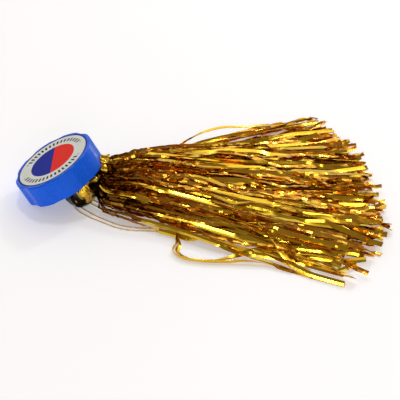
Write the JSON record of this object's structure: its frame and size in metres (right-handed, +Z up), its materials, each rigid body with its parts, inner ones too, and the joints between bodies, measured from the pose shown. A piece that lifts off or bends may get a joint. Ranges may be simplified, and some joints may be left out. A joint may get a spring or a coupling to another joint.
{
  "type": "cheering tassel",
  "caption": "Hand cheering tassel: a fan of gold foil strands hung by wire links under a round finger-grooved plastic cap, with elastic finger loops.",
  "frame": {"origin": "middle of the bottom of the box of the object without its finger loops, on the floor it lies on", "axes": "+X from the cap along the strands, +Y to the far side, +Z up; the cap leans on its rim at -X"},
  "size_m": [0.2336, 0.197, 0.0382],
  "materials": {
    "cap_plastic": "glossy moulded blue plastic",
    "label_print": null,
    "wire_steel": "drawn steel wire",
    "gold_foil": "metallised gold polyester film, mirror bright and crinkled",
    "band_tape": "gold adhesive tape",
    "elastic_cord": "translucent tan elastic"
  },
  "bodies": {
    "cap": {"cap_shell": "cap_plastic", "face_label": "label_print", "anchor_bar": "wire_steel"},
    "link": {"wire_link": "wire_steel"},
    "tassel": {"finger_loop_1": "elastic_cord", "finger_loop_2": "elastic_cord", "foil_header": "gold_foil", "loop_knot_1": "elastic_cord", "loop_knot_2": "elastic_cord", "neck_band": "band_tape", "stray_strand_far": "gold_foil", "stray_strand_near": "gold_foil", "tie_loop": "wire_steel", "tinsel_lower_01": "gold_foil", "tinsel_lower_02": "gold_foil", "tinsel_lower_03": "gold_foil", "tinsel_lower_04": "gold_foil", "tinsel_lower_05": "gold_foil", "tinsel_lower_06": "gold_foil", "tinsel_lower_07": "gold_foil", "tinsel_lower_08": "gold_foil", "tinsel_lower_09": "gold_foil", "tinsel_lower_10": "gold_foil", "tinsel_lower_11": "gold_foil", "tinsel_lower_12": "gold_foil", "tinsel_upper_01": "gold_foil", "tinsel_upper_02": "gold_foil", "tinsel_upper_03": "gold_foil", "tinsel_upper_04": "gold_foil", "tinsel_upper_05": "gold_foil", "tinsel_upper_06": "gold_foil", "tinsel_upper_07": "gold_foil", "tinsel_upper_08": "gold_foil"}
  },
  "joints": [
    {"name": "tassel_swing", "type": "hinge", "parent": "cap", "child": "link", "pos_m": [-0.08792, 0, 0.01618], "axis": [0, 1, 0], "range_deg": [-2, 62]},
    {"name": "tassel_sway", "type": "hinge", "parent": "link", "child": "tassel", "pos_m": [-0.08342, 0, 0.01618], "axis": [0, 0, 1], "range_deg": [-15, 15]}
  ]
}
